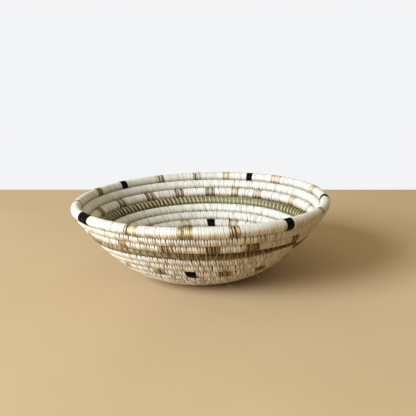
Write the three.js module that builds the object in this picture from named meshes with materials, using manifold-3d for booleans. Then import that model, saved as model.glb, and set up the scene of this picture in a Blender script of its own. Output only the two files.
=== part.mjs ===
// A coiled sweetgrass basket: one long grass coil, wrapped in sisal, wound up from a small centre
// knot into a shallow bowl. One round is left unwrapped, so its green grass shows under open
// stitches, and short bands of black and tan sisal are let into the wrap of three rounds.
// Millimetres, +Z up, with the origin at the middle of the underside.

import * as THREE from 'three';
import { mergeVertices } from 'three/addons/utils/BufferGeometryUtils.js';
import Module from 'manifold-3d';

// Driving dimensions of the bowl's shape, on the middle line of its wall
const BASE_FLAT_RADIUS = 24;
const BELLY_ARC_RADIUS = 60;
const WALL_ARC_RADIUS = 170;
const BELLY_SLOPE = THREE.MathUtils.degToRad(40);
const RIM_SLOPE = THREE.MathUtils.degToRad(58);

// Driving dimensions of the coil
const ROUND_PITCH = 7.9;
const ROUND_GAP = 0.85;
const ROUND_DEPTH = 9.4;
const SEAT_CUT_SHARE = 0.1;
const SEATING_GAP = 0.3;
const CUT_OVERRUN = 5;

// The winding, from its eye at the centre up to the rim
const EYE_RADIUS = 7.1;
const LEVEL_ROUNDS = 3;
const STEPS_PER_TURN = 24;
const SEAM_DEGREES = 313;
const CLIMB_ARC_SHARE = 44 / 360;
const TIP_ARC_SHARE = 0.065;

// The unwrapped round and its open stitches
const ROUNDS_ABOVE_OPEN_ROUND = 3;
const BUNDLE_THINNING = 0.45;
const STRAND_WIDTH = 1.6;
const STRAND_THICKNESS = 0.5;
const STITCH_CORNERS_PER_STEP = 17;

// The bands of coloured sisal: places in degrees round the bowl, widths as shares of one width
const MARK_WIDTH = 8;
const MARK_THICKNESS = 0.6;
const RIM_BLACK_DEGREES = [63.5, 136, 210, 308, 358.5];
const RIM_BLACK_WIDTH_SHARES = [0.8, 1, 1.1, 0.88, 0.75];
const RIM_TAN_DEGREES = [17, 46, 77, 93, 113.5, 154, 178, 242, 264, 283.5, 333];
const RIM_TAN_WIDTH_SHARES = [1, 1.45, 0.8, 0.78, 1.1, 0.95, 0.7, 1.1, 1.1, 0.9, 0.5];
const THIRD_TAN_DEGREES = [5.5, 27, 54.5, 69.5, 84.5, 104, 124, 146, 167, 188, 210, 234, 254, 274, 292, 316];
const THIRD_TAN_WIDTH_SHARES = [1, 1, 1, 0.8, 0.95, 1.15, 1.15, 1.1, 0.95, 1, 1, 0.75, 1, 1.15, 1.15, 1];
const SEVENTH_BLACK_DEGREES = [83, 173, 263.5, 353];
const SEVENTH_BLACK_WIDTH_SHARES = [0.82, 0.9, 0.95, 0.9];
const SEVENTH_TAN_DEGREES = [18, 41, 65, 104, 126, 149, 197, 222, 242.5, 282.5, 307, 330];
const SEVENTH_TAN_WIDTH_SHARES = [1, 0.9, 1, 1, 0.9, 1, 0.9, 0.9, 0.95, 0.9, 0.9, 0.9];

// Sizes that follow from the driving ones
const ROUND_HALF_WIDTH = (ROUND_PITCH - ROUND_GAP) / 2;
const ROUND_HALF_DEPTH = ROUND_DEPTH / 2;
const SEAT_HEIGHT = ROUND_HALF_DEPTH - SEAT_CUT_SHARE * 2 * ROUND_HALF_WIDTH;
const BELLY_LENGTH = BELLY_ARC_RADIUS * BELLY_SLOPE;
const WALL_LENGTH = WALL_ARC_RADIUS * (RIM_SLOPE - BELLY_SLOPE);
const RIM_DISTANCE = BASE_FLAT_RADIUS + BELLY_LENGTH + WALL_LENGTH;
const MARK_INSET = MARK_THICKNESS + SEATING_GAP;

// Turns are counted so that the last full one, the rim, has the number of whole turns that fit.
// A round's level is that of the turn which it ends, and the first turn is cut short at the eye.
const TURNS_THAT_FIT = (RIM_DISTANCE - EYE_RADIUS) / ROUND_PITCH;
const RIM_LEVEL = Math.floor(TURNS_THAT_FIT);
const START_TURN = RIM_LEVEL - TURNS_THAT_FIT;
const THIRD_ROUND_LEVEL = RIM_LEVEL - 2;
const SEVENTH_ROUND_LEVEL = RIM_LEVEL - 6;
const STEP_TURNS = 1 / STEPS_PER_TURN;
const STEP_TOLERANCE = 1e-6;
const OPEN_ROUND_TURN = RIM_LEVEL - ROUNDS_ABOVE_OPEN_ROUND - 1;
const FIRST_JOINT_TURN = OPEN_ROUND_TURN + STEP_TURNS / 2;
const SECOND_JOINT_TURN = FIRST_JOINT_TURN + 1;
const THIRD_JOINT_TURN = RIM_LEVEL - 1 + STEP_TURNS / 2;
const LAST_TURN = RIM_LEVEL + TIP_ARC_SHARE;

const wasm = await Module();
wasm.setup();

const CREAM_SISAL = new THREE.MeshStandardMaterial({ color: 0xe4dcc4, roughness: 0.62, metalness: 0 });
const TAN_SISAL = new THREE.MeshStandardMaterial({ color: 0xa9783f, roughness: 0.62, metalness: 0 });
const BLACK_SISAL = new THREE.MeshStandardMaterial({ color: 0x15151b, roughness: 0.55, metalness: 0 });
const GREEN_GRASS = new THREE.MeshStandardMaterial({ color: 0x80894f, roughness: 0.75, metalness: 0 });

// The belly's arc at a slope, from the flat base up
const bellyAt = (slope) => ({
  radius: BASE_FLAT_RADIUS + BELLY_ARC_RADIUS * Math.sin(slope),
  height: SEAT_HEIGHT + BELLY_ARC_RADIUS * (1 - Math.cos(slope)),
  slope,
});

// The middle line of the wall, followed from the centre: a flat base, the belly's arc, the wall's arc
function profileAt(distance) {
  const pastBase = distance - BASE_FLAT_RADIUS;
  if (pastBase <= 0) return { radius: distance, height: SEAT_HEIGHT, slope: 0 };
  if (pastBase <= BELLY_LENGTH) return bellyAt(pastBase / BELLY_ARC_RADIUS);
  const bellyEnd = bellyAt(BELLY_SLOPE);
  const slope = BELLY_SLOPE + (pastBase - BELLY_LENGTH) / WALL_ARC_RADIUS;
  return {
    radius: bellyEnd.radius + WALL_ARC_RADIUS * (Math.sin(slope) - Math.sin(BELLY_SLOPE)),
    height: bellyEnd.height + WALL_ARC_RADIUS * (Math.cos(BELLY_SLOPE) - Math.cos(slope)),
    slope,
  };
}

// How far a turn has climbed to the next level, from 0 to 1. The first turns climb evenly, and the
// later ones more and more within a short arc, so that the upper rounds and the rim lie level.
function climbAt(turn) {
  const part = turn - Math.floor(turn);
  const level = THREE.MathUtils.clamp(turn / (RIM_LEVEL - LEVEL_ROUNDS), 0, 1);
  const quick = THREE.MathUtils.smoothstep(part, 0, CLIMB_ARC_SHARE);
  return THREE.MathUtils.lerp(part, quick, level);
}

// The coil where it has made that many turns: its place along the profile and its half sizes. Past
// the last turn it runs out to a tip, which keeps its top edge level over its own rising start.
function coilAt(turn) {
  if (turn < RIM_LEVEL) {
    const level = Math.floor(turn) + climbAt(turn);
    const distance = RIM_DISTANCE - ROUND_PITCH * (RIM_LEVEL - level);
    return { distance, halfWidth: ROUND_HALF_WIDTH, halfDepth: ROUND_HALF_DEPTH };
  }
  const halfWidth = (ROUND_PITCH * (1 - climbAt(turn)) - ROUND_GAP) / 2;
  return {
    distance: RIM_DISTANCE + ROUND_HALF_WIDTH - halfWidth,
    halfWidth,
    halfDepth: ROUND_HALF_DEPTH * Math.sqrt(halfWidth / ROUND_HALF_WIDTH),
  };
}

const azimuthAt = (turn) => THREE.MathUtils.degToRad(SEAM_DEGREES) + 2 * Math.PI * turn;

// A six-sided section, as shares of the half sizes: its flats face the neighbouring rounds
const SECTION_CORNER_SHARES = [[1, -0.5], [1, 0.5], [0, 1], [-1, 0.5], [-1, -0.5], [0, -1]];

// One corner of the coil's section at a whole step, moved in by an inset or out by a negative one
function stationCorner(turn, corner, inset) {
  const { distance, halfWidth, halfDepth } = coilAt(turn);
  const { radius, height, slope } = profileAt(distance);
  const [alongShare, outShare] = SECTION_CORNER_SHARES[corner];
  const scale = (halfWidth - inset) / halfWidth;
  const along = alongShare * halfWidth * scale;
  const out = outShare * halfDepth * scale;
  const planRadius = radius + along * Math.cos(slope) + out * Math.sin(slope);
  const z = height + along * Math.sin(slope) - out * Math.cos(slope);
  const azimuth = azimuthAt(turn);
  return new THREE.Vector3(planRadius * Math.cos(azimuth), planRadius * Math.sin(azimuth), z);
}

// The same corner anywhere: between two steps the coil runs straight
function coilCorner(turn, corner, inset) {
  const step = Math.floor(turn * STEPS_PER_TURN + STEP_TOLERANCE);
  const share = turn * STEPS_PER_TURN - step;
  const here = stationCorner(step * STEP_TURNS, corner, inset);
  if (share < STEP_TOLERANCE) return here;
  return here.lerp(stationCorner((step + 1) * STEP_TURNS, corner, inset), share);
}

const coilRing = (turn, inset = 0) => (
  SECTION_CORNER_SHARES.map((_, corner) => coilCorner(turn, corner, inset))
);

// A length measured along the coil at a turn, as a part of a turn
const lengthToTurns = (length, turn) => length / (2 * Math.PI * profileAt(coilAt(turn).distance).radius);

// The whole steps that lie between two turns
function stepsBetween(fromTurn, toTurn) {
  const steps = [];
  const first = Math.ceil(fromTurn * STEPS_PER_TURN + STEP_TOLERANCE);
  const last = Math.floor(toTurn * STEPS_PER_TURN - STEP_TOLERANCE);
  for (let step = first; step <= last; step += 1) steps.push(step * STEP_TURNS);
  return steps;
}

// Skins a row of rings that all have as many points: with end caps, or closed on itself
function loft(rings, closedOnItself = false) {
  const sides = rings[0].length;
  const points = rings.flat();
  const triangles = [];
  const bands = closedOnItself ? rings.length : rings.length - 1;
  for (let band = 0; band < bands; band += 1) {
    const near = band * sides;
    const far = ((band + 1) % rings.length) * sides;
    for (let side = 0; side < sides; side += 1) {
      const next = (side + 1) % sides;
      triangles.push(near + side, near + next, far + next);
      triangles.push(near + side, far + next, far + side);
    }
  }
  if (!closedOnItself) {
    const last = (rings.length - 1) * sides;
    for (let side = 1; side < sides - 1; side += 1) {
      triangles.push(0, side + 1, side);
      triangles.push(last, last + side, last + side + 1);
    }
  }
  const geometry = new THREE.BufferGeometry().setFromPoints(points);
  geometry.setIndex(triangles);
  return geometry;
}

function toManifold(geometry) {
  const bare = geometry.clone();
  bare.deleteAttribute('normal');
  bare.deleteAttribute('uv');
  const merged = mergeVertices(bare);
  const vertProperties = new Float32Array(merged.attributes.position.array);
  const triVerts = new Uint32Array(merged.index.array);
  return new wasm.Manifold(new wasm.Mesh({ numProp: 3, vertProperties, triVerts }));
}

function fromManifold(solid) {
  const mesh = solid.getMesh();
  const geometry = new THREE.BufferGeometry();
  geometry.setAttribute('position', new THREE.BufferAttribute(mesh.vertProperties, 3));
  geometry.setIndex(new THREE.BufferAttribute(mesh.triVerts, 1));
  return geometry;
}

// Cuts a body level with the surface that the basket stands on
function cutFlatUnderneath(geometry) {
  const width = 2 * (RIM_DISTANCE + CUT_OVERRUN);
  const block = new THREE.BoxGeometry(width, width, CUT_OVERRUN);
  block.translate(0, 0, -CUT_OVERRUN / 2);
  return fromManifold(toManifold(geometry).subtract(toManifold(block)));
}

const named = (name, geometry, material) => {
  const mesh = new THREE.Mesh(geometry, material);
  mesh.name = name;
  return mesh;
};

// Where a band lies on the coil: the turn whose level at that place is nearest to the band's round
function bandTurns(level, degrees, widthShare) {
  const part = THREE.MathUtils.euclideanModulo((degrees - SEAM_DEGREES) / 360, 1);
  const turns = [level - 1 + part, level + part].filter((turn) => turn < LAST_TURN);
  const miss = (turn) => Math.abs(Math.floor(turn) + climbAt(turn) - level);
  const middle = turns.reduce((best, turn) => (miss(turn) < miss(best) ? turn : best));
  const half = lengthToTurns((MARK_WIDTH * widthShare) / 2, middle);
  return { from: middle - half, to: middle + half };
}

function bandRow(name, level, degreesList, widthShares, material) {
  return degreesList.map((degrees, i) => ({
    name: `${name}_${i + 1}`,
    material,
    ...bandTurns(level, degrees, widthShares[i]),
  }));
}

const BANDS = [
  ...bandRow('rim_black_band', RIM_LEVEL, RIM_BLACK_DEGREES, RIM_BLACK_WIDTH_SHARES, BLACK_SISAL),
  ...bandRow('rim_tan_band', RIM_LEVEL, RIM_TAN_DEGREES, RIM_TAN_WIDTH_SHARES, TAN_SISAL),
  ...bandRow('third_round_tan_band', THIRD_ROUND_LEVEL, THIRD_TAN_DEGREES, THIRD_TAN_WIDTH_SHARES, TAN_SISAL),
  ...bandRow('seventh_round_black_band', SEVENTH_ROUND_LEVEL, SEVENTH_BLACK_DEGREES,
    SEVENTH_BLACK_WIDTH_SHARES, BLACK_SISAL),
  ...bandRow('seventh_round_tan_band', SEVENTH_ROUND_LEVEL, SEVENTH_TAN_DEGREES,
    SEVENTH_TAN_WIDTH_SHARES, TAN_SISAL),
];

// The rings of a stretch of coil, necked in where the coloured bands sit
function coilRings(fromTurn, toTurn, inset = 0) {
  const start = fromTurn + lengthToTurns(SEATING_GAP / 2, fromTurn);
  const end = toTurn - lengthToTurns(SEATING_GAP / 2, toTurn);
  const stations = [{ turn: start, inset }];
  const bands = BANDS.filter((band) => band.from > start && band.to < end);
  for (const turn of stepsBetween(start, end)) {
    const necked = bands.some((band) => turn > band.from && turn < band.to);
    stations.push({ turn, inset: necked ? MARK_INSET : inset });
  }
  for (const band of bands) {
    const slack = lengthToTurns(SEATING_GAP, band.from);
    const neckStart = band.from - slack;
    const neckEnd = band.to + slack;
    stations.push({ turn: neckStart, inset, order: 0 }, { turn: neckStart, inset: MARK_INSET, order: 1 });
    stations.push({ turn: neckEnd, inset: MARK_INSET, order: 0 }, { turn: neckEnd, inset, order: 1 });
  }
  stations.push({ turn: end, inset });
  stations.sort((a, b) => a.turn - b.turn || (a.order ?? 0) - (b.order ?? 0));
  return stations.map((station) => coilRing(station.turn, station.inset));
}

// A coloured band: a sleeve round the coil's neck, level with the wrap on both sides of it
function bandGeometry(band) {
  const turns = [band.from, ...stepsBetween(band.from, band.to), band.to];
  const outside = turns.map((turn) => coilRing(turn, 0));
  const inside = turns.map((turn) => coilRing(turn, MARK_THICKNESS)).reverse();
  return loft([...outside, ...inside], true);
}

// The open stitches: one strand wound round the bare bundle, three-sided, from corner to corner
function stitchRings() {
  const cornersPerTurn = STITCH_CORNERS_PER_STEP * STEPS_PER_TURN;
  const firstCorner = Math.ceil((FIRST_JOINT_TURN - OPEN_ROUND_TURN) * cornersPerTurn) + 1;
  const lastCorner = firstCorner + cornersPerTurn - 2;
  const under = BUNDLE_THINNING - SEATING_GAP;
  const rings = [];
  for (let i = firstCorner; i <= lastCorner; i += 1) {
    const turn = OPEN_ROUND_TURN + i / cornersPerTurn;
    const half = lengthToTurns(STRAND_WIDTH / 2, turn);
    const corner = i % SECTION_CORNER_SHARES.length;
    rings.push([
      coilCorner(turn - half, corner, under),
      coilCorner(turn + half, corner, under),
      coilCorner(turn, corner, under - STRAND_THICKNESS),
    ]);
  }
  return rings;
}

// The centre knot fills the eye of the coil, with its outline one seating gap inside the first turn
function centreKnot() {
  const clearRadius = (turn) => coilAt(turn).distance - ROUND_HALF_WIDTH - SEATING_GAP;
  const closeTurn = START_TURN + 1;
  const outline = [];
  const place = (radius, azimuth, sideways = 0) => new THREE.Vector2(
    radius * Math.cos(azimuth) + sideways * Math.sin(azimuth),
    radius * Math.sin(azimuth) - sideways * Math.cos(azimuth),
  );
  outline.push(place(clearRadius(START_TURN), azimuthAt(START_TURN), SEATING_GAP));
  for (const turn of stepsBetween(START_TURN, closeTurn)) {
    outline.push(place(clearRadius(turn), azimuthAt(turn)));
  }
  outline.push(place(clearRadius(closeTurn) - SEATING_GAP, azimuthAt(closeTurn), SEATING_GAP));
  const depth = SEAT_HEIGHT + ROUND_HALF_DEPTH * SECTION_CORNER_SHARES[1][1];
  return new THREE.ExtrudeGeometry(new THREE.Shape(outline), { depth, bevelEnabled: false });
}

// The least distance between two rings of one tube that lie at least that many rings apart
function leastGap(rings, ringsApart) {
  let least = Infinity;
  for (let i = 0; i < rings.length; i += 1) {
    for (let j = i + ringsApart; j < rings.length; j += 1) {
      for (const a of rings[i]) {
        for (const b of rings[j]) least = Math.min(least, a.distanceToSquared(b));
      }
    }
  }
  return Math.sqrt(least);
}

// Points on the coil's corners at every half step, with no necks, for measuring it against itself
function plainRings(fromTurn, toTurn) {
  const rings = [];
  for (let turn = fromTurn; turn < toTurn; turn += STEP_TURNS / 2) rings.push(coilRing(turn));
  return rings;
}

const wholeCoilGap = leastGap(plainRings(START_TURN, LAST_TURN), STEPS_PER_TURN);
console.log(`least gap of the coil to itself: ${wholeCoilGap.toFixed(2)} mm`);
const stitching = stitchRings();
const stitchGap = leastGap(stitching, SECTION_CORNER_SHARES.length - 1);
console.log(`least gap of the stitching to itself: ${stitchGap.toFixed(2)} mm`);

const lowerCoil = cutFlatUnderneath(loft(coilRings(START_TURN, FIRST_JOINT_TURN)));
const bareBundle = loft(coilRings(FIRST_JOINT_TURN, SECOND_JOINT_TURN, BUNDLE_THINNING));
const upperCoil = loft(coilRings(SECOND_JOINT_TURN, THIRD_JOINT_TURN));
const rimCoil = loft(coilRings(THIRD_JOINT_TURN, LAST_TURN));

const basket = new THREE.Group();
basket.name = 'coiled_basket';

const body = new THREE.Group();
body.name = 'coil';
body.add(
  named('centre_knot', centreKnot(), CREAM_SISAL),
  named('lower_coil', lowerCoil, CREAM_SISAL),
  named('open_round_bundle', bareBundle, GREEN_GRASS),
  named('open_round_stitching', loft(stitching), TAN_SISAL),
  named('upper_coil', upperCoil, CREAM_SISAL),
  named('rim_coil', rimCoil, CREAM_SISAL),
);

const bands = new THREE.Group();
bands.name = 'coloured_bands';
for (const band of BANDS) bands.add(named(band.name, bandGeometry(band), band.material));

basket.add(body, bands);

export default basket;
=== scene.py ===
"""A coiled sweetgrass basket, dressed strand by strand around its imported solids.

One long grass coil winds up from a knot at the centre to the rim. Cream sisal is sewn round it loop
by loop, one round is left bare under open tan stitches, and short bands of black and tan sisal break
the cream of three rounds. Sizes are in millimetres until a point is placed, which is in metres.
"""

import logging
import math
from dataclasses import dataclass, field, replace
from enum import Enum
from functools import reduce
from typing import Sequence

import bmesh
import bpy
import numpy as np
from mathutils import Matrix, Vector


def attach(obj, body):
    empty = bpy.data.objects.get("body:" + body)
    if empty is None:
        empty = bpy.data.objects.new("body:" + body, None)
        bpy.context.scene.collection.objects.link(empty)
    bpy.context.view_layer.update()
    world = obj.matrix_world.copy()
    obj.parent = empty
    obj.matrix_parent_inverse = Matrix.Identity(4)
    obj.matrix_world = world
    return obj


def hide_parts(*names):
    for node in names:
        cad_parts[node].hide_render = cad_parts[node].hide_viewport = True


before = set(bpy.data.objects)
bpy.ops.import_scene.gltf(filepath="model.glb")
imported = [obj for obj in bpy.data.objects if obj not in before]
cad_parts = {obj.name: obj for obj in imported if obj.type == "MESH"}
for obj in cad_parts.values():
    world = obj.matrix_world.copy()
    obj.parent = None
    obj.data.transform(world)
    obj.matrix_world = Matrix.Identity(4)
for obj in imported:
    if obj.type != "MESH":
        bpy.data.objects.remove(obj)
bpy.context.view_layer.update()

LOG = logging.getLogger("coiled_basket")
MM = 0.001
TURN = 2.0 * math.pi
MERGE_DISTANCE = 1e-4
FILM_WIDTH = 36.0
TUBE_SPAN = 2.0
NUMBER_RANGE = 500.0

Array = np.ndarray
Mesh = bpy.types.Mesh
Material = bpy.types.Material
Socket = bpy.types.NodeSocket
Range = tuple[float, float]
Triple = tuple[float, float, float]


def srgb(*levels: float) -> Triple:
    """Turns a screen's red, green and blue levels, 0 to 255, into the linear colour of a shader."""
    shares = (level / 255.0 for level in levels)
    return tuple(s / 12.92 if s <= 0.04045 else ((s + 0.055) / 1.055) ** 2.4 for s in shares)


def smooth(share: Array) -> Array:
    """Eases a share from 0 to 1 in and out."""
    return share * share * (3.0 - 2.0 * share)


@dataclass(frozen=True)
class Zone:
    """A zone of angles in degrees, which fades out softly on both sides of its middle."""

    middle: float
    spread: float

    def at(self, angle: Array) -> Array:
        """How much of the zone there is at each angle: 1 at its middle, none far away."""
        away = (angle - self.middle + 180.0) % 360.0 - 180.0
        return np.exp(-0.5 * (away / self.spread) ** 2)


# Zones round the coil's section: 0 faces out of the bowl, 90 up its wall and -90 down it
NOTCHES = Zone(76.0, 25.0)
GATHERING = Zone(70.0, 36.0)
SHOULDER = Zone(128.0, 24.0)
# The inner face and the beads stay pale in these zones while painted shade goes round them: a painted
# highlight.
INNER_FACE = Zone(190.0, 34.0)
INNER_BEAD = Zone(206.0, 24.0)
INNER_FOOT = Zone(238.0, 14.0)
TICKS = Zone(246.0, 13.0)
OUTER_FOOT = Zone(-70.0, 20.0)
TUCK = Zone(-60.0, 19.0)
INNER_CREASE = 246.0
OUTER_CREASE = 268.0
TOP_CREASE = 90.0

# Zones round the bowl: 270 faces the photograph's camera, 0 is at its right and 180 at its left
# Most zones below place painted light and painted shade: paler sisal and grass on the lit front left, darker
# and browner on the shaded left, front right and right, and round the beads at the back.
BACK = Zone(62.0, 48.0)
BACK_BEAD_SHADE = Zone(45.0, 60.0)
LEFT_SHADED_SISAL = Zone(158.0, 36.0)
FRONT_LEFT_LIT = Zone(205.0, 25.0)
FRONT = Zone(274.0, 26.0)
FRONT_RIGHT_SHADED = Zone(325.0, 25.0)
RIGHT_SHADED_SISAL = Zone(335.0, 32.0)
RIGHT_TINTS = Zone(338.0, 32.0)
RIGHT_SHADED_GRASS = Zone(20.0, 18.0)
BACK_GRASS = Zone(76.0, 27.0)
LEFT_SHADED_GRASS = Zone(160.0, 36.0)
FRONT_LEFT_LIT_GRASS = Zone(214.0, 27.0)
FRONT_RIGHT_SHADED_GRASS = Zone(308.0, 34.0)


class Sisal(Enum):
    """The colours of sisal that the basket is sewn with, by the letter used in a band's pattern."""

    CREAM = "c"
    TAN = "t"
    BLACK = "b"


GAP_LETTER = "g"


# Finishes

WHITE: Triple = (1.0, 1.0, 1.0)
ZERO_TO_ONE: Range = (0.0, 1.0)
NOISE_RANGE: Range = (0.3, 0.7)
FIRST_COLOUR, SECOND_COLOUR, MIXED_COLOUR = 6, 7, 2


@dataclass
class Nodes:
    """A node tree, with short calls that add its nodes and feed them."""

    tree: bpy.types.NodeTree

    def feed(self, socket: Socket, value: object) -> None:
        """Gives an input what it reads.

        Args:
            socket: The input.
            value: The output that it is linked to, or a colour or number of its own.
        """
        if isinstance(value, Socket):
            self.tree.links.new(value, socket)
        elif socket.type == "RGBA":
            socket.default_value = (*value, 1.0)
        else:
            socket.default_value = value

    def node(self, kind: str, inputs: dict[str | int, object], output: str | int, **settings: str) -> Socket:
        """Adds a node.

        Args:
            kind: The node's kind.
            inputs: What its inputs are fed with, by their names or numbers.
            output: The name or number of the output that is used.
            settings: The node's own properties.

        Returns:
            The output.
        """
        made = self.tree.nodes.new(f"ShaderNode{kind}")
        for key, value in settings.items():
            setattr(made, key, value)
        for key, value in inputs.items():
            self.feed(made.inputs[key], value)
        return made.outputs[output]


class Shader(Nodes):
    """A material's nodes, with short calls for what the finishes share."""

    bump_strength = 0.7

    def __init__(self, name: str) -> None:
        """Starts a material with one Principled shader.

        Args:
            name: The material's name.
        """
        self.material = bpy.data.materials.new(name)
        self.material.use_nodes = True
        super().__init__(self.material.node_tree)
        self.surface = self.tree.nodes["Principled BSDF"].inputs

    def attribute(self, name: str, output: str = "Fac") -> Socket:
        """Reads an attribute of the piece's own mesh."""
        return self.node("Attribute", {}, output, attribute_name=name)

    def noise(self, place: Socket, cells: Triple, detail: float) -> Socket:
        """Noise from 0 to 1, with so many cells along each axis of the place that it is read at."""
        stretched = self.node("Mapping", {"Vector": place, "Scale": cells}, "Vector")
        return self.node("TexNoise", {"Vector": stretched, "Scale": 1.0, "Detail": detail}, "Fac")

    def spread(self, value: Socket, target: Range = ZERO_TO_ONE, source: Range = NOISE_RANGE) -> Socket:
        """Maps a value from one range to another, and holds it within that."""
        ends = zip(("From Min", "From Max", "To Min", "To Max"), (*source, *target))
        return self.node("MapRange", {"Value": value, **dict(ends)}, "Result")

    def maths(self, operation: str, first: Socket, second: Socket | float) -> Socket:
        """Joins two values by one sum of that name."""
        return self.node("Math", {0: first, 1: second}, "Value", operation=operation)

    def blend(self, share: Socket | float, first: object, second: object, mode: str = "MIX") -> Socket:
        """Mixes two colours by the share of the second one."""
        inputs = {"Factor": share, FIRST_COLOUR: first, SECOND_COLOUR: second}
        return self.node("Mix", inputs, MIXED_COLOUR, data_type="RGBA", blend_type=mode)

    def product(self, *colours: Socket) -> Socket:
        """Multiplies colours by each other."""
        return reduce(lambda one, other: self.blend(1.0, one, other, "MULTIPLY"), colours)

    def finish(self, colour: Socket, roughness: Socket, relief: Socket, depth: float) -> Material:
        """Joins the colour, roughness and relief to the surface.

        Args:
            colour: The base colour.
            roughness: The roughness.
            relief: The height that the bump is made from.
            depth: The bump's depth in millimetres.

        Returns:
            The material.
        """
        inputs = {"Height": relief, "Strength": self.bump_strength, "Distance": depth * MM}
        bump = self.node("Bump", inputs, "Normal")
        for name, value in (("Normal", bump), ("Base Color", colour), ("Roughness", roughness)):
            self.feed(self.surface[name], value)
        return self.material


@dataclass(frozen=True)
class SisalFinish:
    """Sisal fibre, twisted into flat strands: its colours inside and outside the bowl, with painted light
    and painted shade, and its shine.
    """

    name: str
    slot: str
    inside: Triple
    # The outside colour is the outside face's own warmer colour, and also serves as painted shade on the
    # lower halves of the rounds and on shaded sides.
    outside: Triple
    shade: Triple
    roughness: Range = (0.3, 0.48)
    # Colour of the painted shade in creases, on the lower inside halves and on shaded sides.
    crease: Triple = srgb(150, 124, 88)
    sheen: float = 0.06
    specular: float = 0.45
    fibre_cells: Triple = (6.0, 0.45, 1.0)
    fibre_detail: float = 3.0
    fibre_light: float = 0.28
    fibre_depth: float = 0.06
    patch_cells: Triple = (0.3, 0.12, 0.37)
    patch_detail: float = 1.0
    patch_light: float = 0.16
    tint_light: Range = (0.27, 0.8)
    even_light: Range = (0.54, 0.0)
    even_sides: Range = (0.0, 0.9)

    def build(self) -> Material:
        """Makes the material. Its fibres run along each strand, and each strand has its own tint; the
        outside colour's share also carries painted light and painted shade, and a second mark multiplies in
        painted shade.

        Returns:
            The material.
        """
        shader = Shader(self.name)
        place = shader.attribute("strand_place", "Vector")
        side = shader.attribute("outer")
        fibre = shader.noise(place, self.fibre_cells, self.fibre_detail)
        patch = shader.noise(place, self.patch_cells, self.patch_detail)
        fine = shader.maths("MULTIPLY", shader.spread(fibre), self.fibre_light)
        slow = shader.maths("MULTIPLY", shader.spread(patch), self.patch_light)
        play = shader.spread(side, self.tint_light, ZERO_TO_ONE)
        own = shader.maths("MULTIPLY", shader.attribute("tint"), play)
        light = shader.maths("ADD", own, shader.maths("ADD", fine, slow))
        light = shader.maths("ADD", light, shader.spread(side, self.even_light, self.even_sides))
        # The outside colour's share also carries painted light and painted shade.
        body = shader.blend(side, self.inside, self.outside)
        tone = shader.blend(light, self.shade, WHITE)
        # Painted shade, multiplied into the colour.
        crease = shader.blend(shader.attribute("crease"), WHITE, self.crease)
        shader.feed(shader.surface["Sheen Weight"], self.sheen)
        shader.feed(shader.surface["Specular IOR Level"], self.specular)
        roughness = shader.spread(fibre, self.roughness)
        return shader.finish(shader.product(body, tone, crease), roughness, fibre, self.fibre_depth)


@dataclass(frozen=True)
class GrassFinish:
    """Dried sweetgrass stems: sage green, with olive and straw ones among them."""

    name: str
    sage: Triple
    olive: Triple
    straw: Triple
    slot: str = "sweetgrass"
    # Colour of the painted shade on shaded grass.
    crease: Triple = (0.36, 0.25, 0.13)
    roughness: Range = (0.5, 0.72)
    detail: float = 2.0
    length_cells: Triple = (0.35, 0.11, 1.0)
    length_noise: Range = (0.35, 0.65)
    length_sage: Range = (-0.25, 0.35)
    straw_tints: Range = (0.7, 0.95)
    straw_share: Range = (0.0, 0.75)
    vein_cells: Triple = (7.0, 0.5, 1.0)
    vein_dark: Triple = (0.72, 0.72, 0.68)
    vein_light: Triple = (1.08, 1.08, 1.05)
    vein_depth: float = 0.05

    def build(self) -> Material:
        """Makes the material. Each stem has its own tint and darker lengths; paler sage on the lit front
        left is painted light, and darker stems on shaded sides are painted shade.

        Returns:
            The material.
        """
        shader = Shader(self.name)
        place = shader.attribute("strand_place", "Vector")
        lengths = shader.noise(place, self.length_cells, self.detail)
        veins = shader.noise(place, self.vein_cells, self.detail)
        green = shader.spread(lengths, self.length_sage, self.length_noise)
        # The outer share makes stems paler sage, partly as painted light on the lit front left.
        green = shader.maths("ADD", green, shader.attribute("outer"))
        body = shader.blend(shader.spread(green, ZERO_TO_ONE, ZERO_TO_ONE), self.olive, self.sage)
        dry = shader.spread(shader.attribute("tint"), self.straw_share, self.straw_tints)
        body = shader.blend(dry, body, self.straw)
        tone = shader.blend(shader.spread(veins), self.vein_dark, self.vein_light)
        # Painted shade, multiplied into the colour.
        crease = shader.blend(shader.attribute("crease"), WHITE, self.crease)
        roughness = shader.spread(veins, self.roughness)
        return shader.finish(shader.product(body, tone, crease), roughness, veins, self.vein_depth)


@dataclass(frozen=True)
class TableFinish:
    """The plain pale floor, matt, with a barely visible unevenness."""

    name: str = "pale table"
    colour: Triple = srgb(212, 186, 151)
    shade: Triple = srgb(207, 181, 145)
    roughness: Range = (0.7, 0.8)
    specular: float = 0.12
    cells: Triple = (9.0, 9.0, 9.0)
    detail: float = 3.0
    depth: float = 0.02

    def build(self) -> Material:
        """Makes the material on object coordinates.

        Returns:
            The material.
        """
        shader = Shader(self.name)
        grain = shader.noise(shader.node("TexCoord", {}, "Object"), self.cells, self.detail)
        colour = shader.blend(shader.spread(grain), self.shade, self.colour)
        shader.feed(shader.surface["Specular IOR Level"], self.specular)
        return shader.finish(colour, shader.spread(grain, self.roughness), grain, self.depth)


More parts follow.
